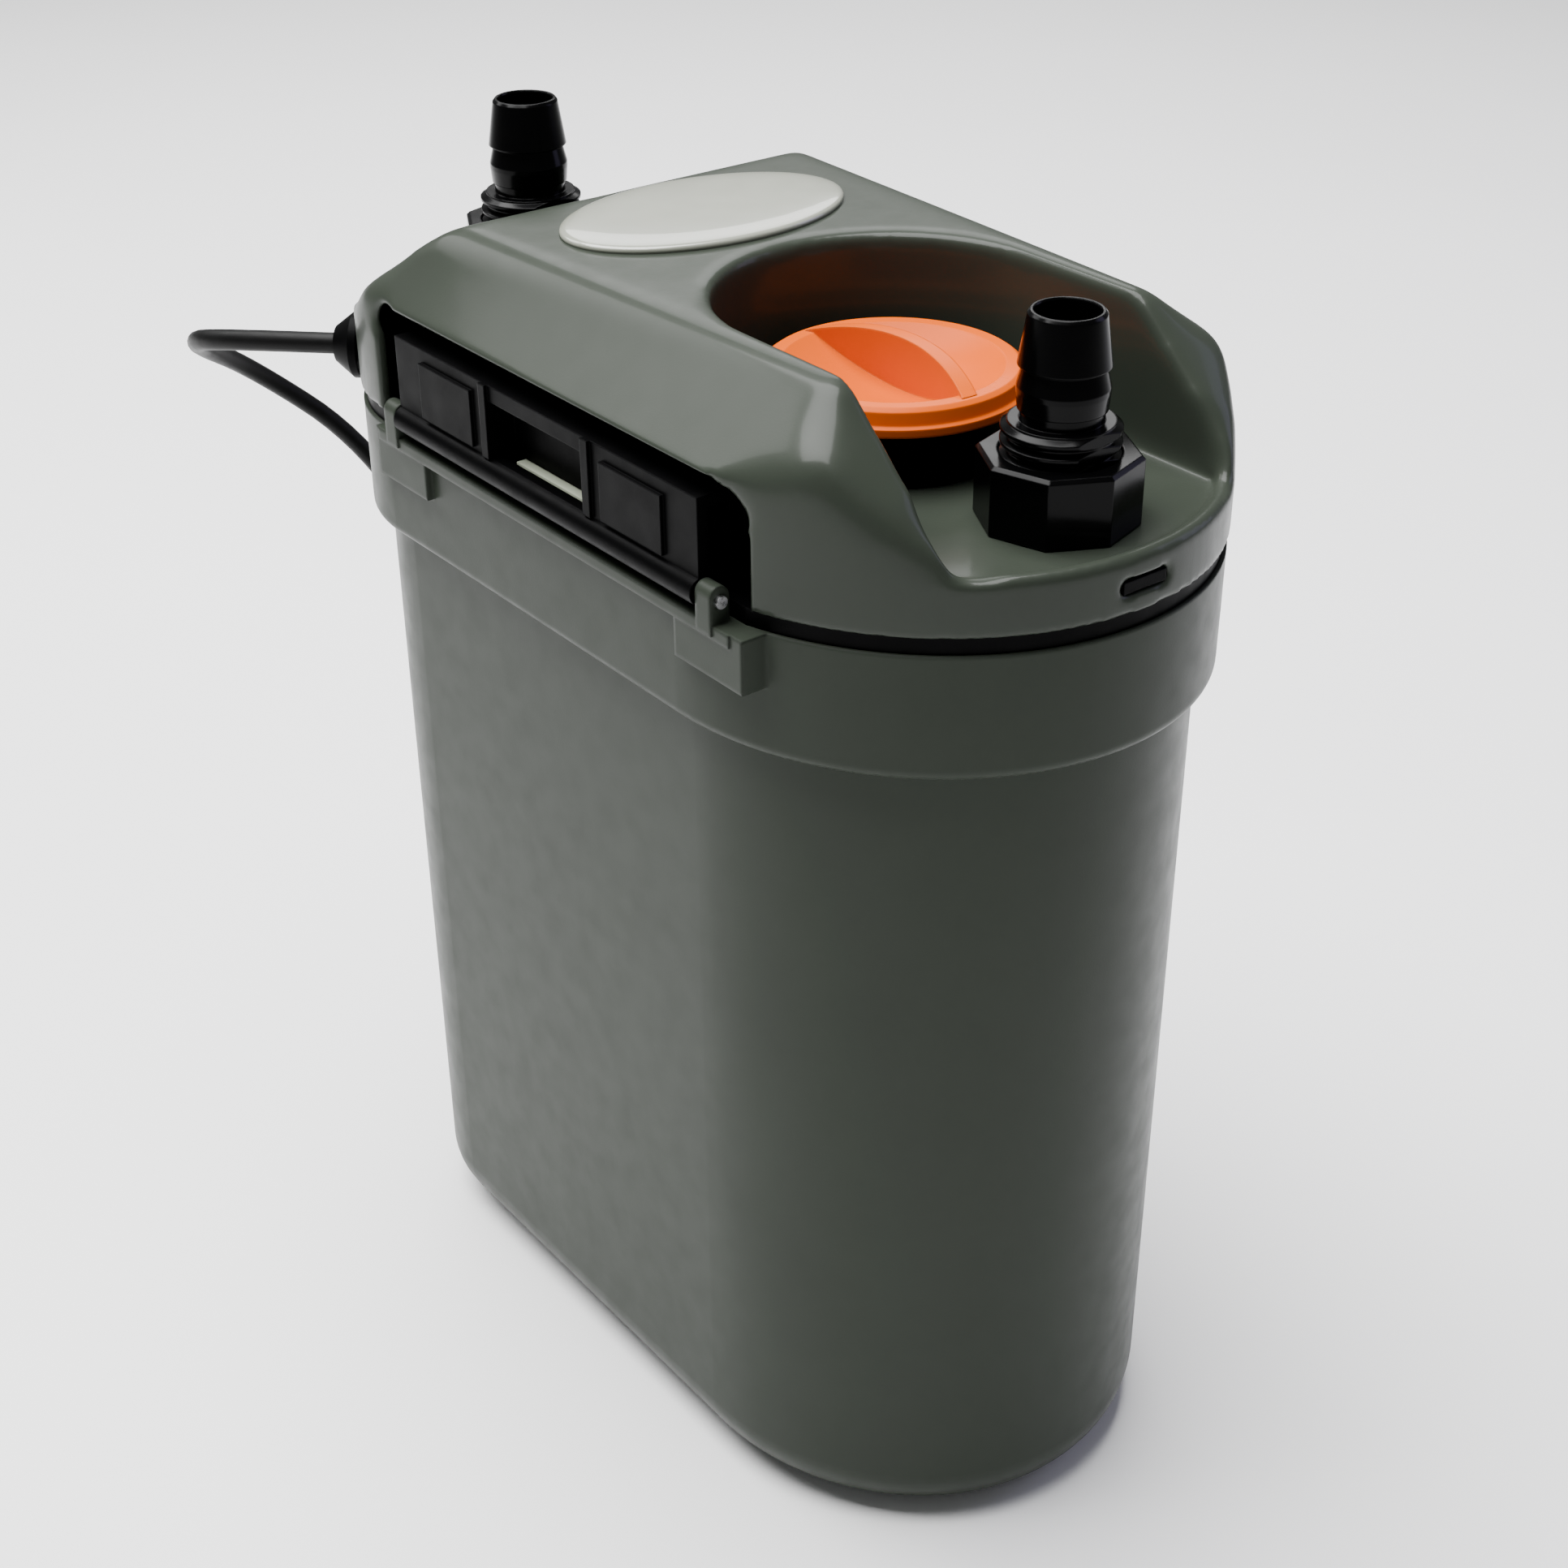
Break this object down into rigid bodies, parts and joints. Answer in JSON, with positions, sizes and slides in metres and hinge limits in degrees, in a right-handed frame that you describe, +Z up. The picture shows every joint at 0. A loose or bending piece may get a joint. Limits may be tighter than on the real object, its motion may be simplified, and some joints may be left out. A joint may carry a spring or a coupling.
{
  "type": "canister water filter",
  "caption": "Upright D-shaped canister filter with a latched pump head, two hose fittings, a priming cap and a mains lead.",
  "frame": {"origin": "on the ground under the middle of the object's box without its lead", "axes": "+Z up, -Y towards the rounded front with the inlet fitting and priming cap, +X to the right seen from the front"},
  "size_m": [0.2287, 0.3031, 0.2821],
  "materials": {
    "grey_plastic": "satin moulded, fine grain",
    "black_plastic": "satin moulded",
    "gloss_black": "glossy moulded",
    "orange_plastic": "semi-gloss moulded",
    "ivory_badge": "domed gloss resin",
    "pale_strip": "satin",
    "foot_rubber": "matte rubber",
    "seal_rubber": "smooth rubber",
    "basket_plastic": "satin moulded",
    "coarse_foam": "open-cell foam",
    "bio_ceramic": "porous fired ceramic",
    "white_floss": "polyester floss",
    "potting_resin": "potted resin",
    "magnet": "ferrite in plastic",
    "shaft_ceramic": "polished ceramic",
    "pin_steel": "drawn",
    "cord_pvc": "satin PVC",
    "plug_plastic": "satin moulded",
    "plug_metal": "nickel-plated"
  },
  "bodies": {
    "filter": {"canister": "grey_plastic", "cover": "grey_plastic", "foot_1": "foot_rubber", "foot_2": "foot_rubber", "foot_3": "foot_rubber", "foot_4": "foot_rubber", "basket_lower": "basket_plastic", "basket_upper": "basket_plastic", "intake_pipe": "basket_plastic", "sponge_coarse": "coarse_foam", "bio_block": "bio_ceramic", "fine_pad": "white_floss", "head_base": "black_plastic", "volute_cover": "black_plastic", "gland": "black_plastic", "head_seal": "seal_rubber", "inlet_washer": "seal_rubber", "outlet_washer": "seal_rubber", "bush_top": "seal_rubber", "bush_bottom": "seal_rubber", "stator": "potting_resin", "shaft": "shaft_ceramic", "inlet_tail": "gloss_black", "outlet_tail": "gloss_black", "badge": "ivory_badge", "latch_pin_left": "pin_steel", "latch_pin_right": "pin_steel", "cord": "cord_pvc", "cord_tail": "cord_pvc", "cord_coil": "cord_pvc", "plug": "plug_plastic", "plug_pin_1": "plug_metal", "plug_pin_2": "plug_metal"},
    "cap": {"priming_cap": "orange_plastic", "cap_seal": "seal_rubber"},
    "inlet_nut": {"inlet_nut": "gloss_black"},
    "outlet_nut": {"outlet_nut": "gloss_black"},
    "latch_left": {"latch_left": "black_plastic", "latch_strip_left": "pale_strip"},
    "latch_right": {"latch_right": "black_plastic", "latch_strip_right": "pale_strip"},
    "rotor": {"impeller": "black_plastic", "rotor_magnet": "magnet"}
  },
  "joints": [
    {"name": "cap_turn", "type": "hinge", "parent": "filter", "child": "cap", "pos_m": [0, -0.0332, 0.25], "axis": [0, 0, 1], "range_deg": [0, 90]},
    {"name": "inlet_nut_turn", "type": "hinge", "parent": "filter", "child": "inlet_nut", "pos_m": [0, -0.0802, 0.24], "axis": [0, 0, 1], "range_deg": [0, 360]},
    {"name": "outlet_nut_turn", "type": "hinge", "parent": "filter", "child": "outlet_nut", "pos_m": [-0.0085, 0.0828, 0.246], "axis": [0, 0, 1], "range_deg": [0, 360]},
    {"name": "latch_left_swing", "type": "hinge", "parent": "filter", "child": "latch_left", "pos_m": [-0.0592, 0, 0.2281], "axis": [0, -1, 0], "range_deg": [0, 85]},
    {"name": "latch_right_swing", "type": "hinge", "parent": "filter", "child": "latch_right", "pos_m": [0.0592, 0, 0.2281], "axis": [0, 1, 0], "range_deg": [0, 85]},
    {"name": "rotor_spin", "type": "hinge", "parent": "filter", "child": "rotor", "pos_m": [0, 0.0298, 0.22], "axis": [0, 0, 1], "continuous": true}
  ]
}
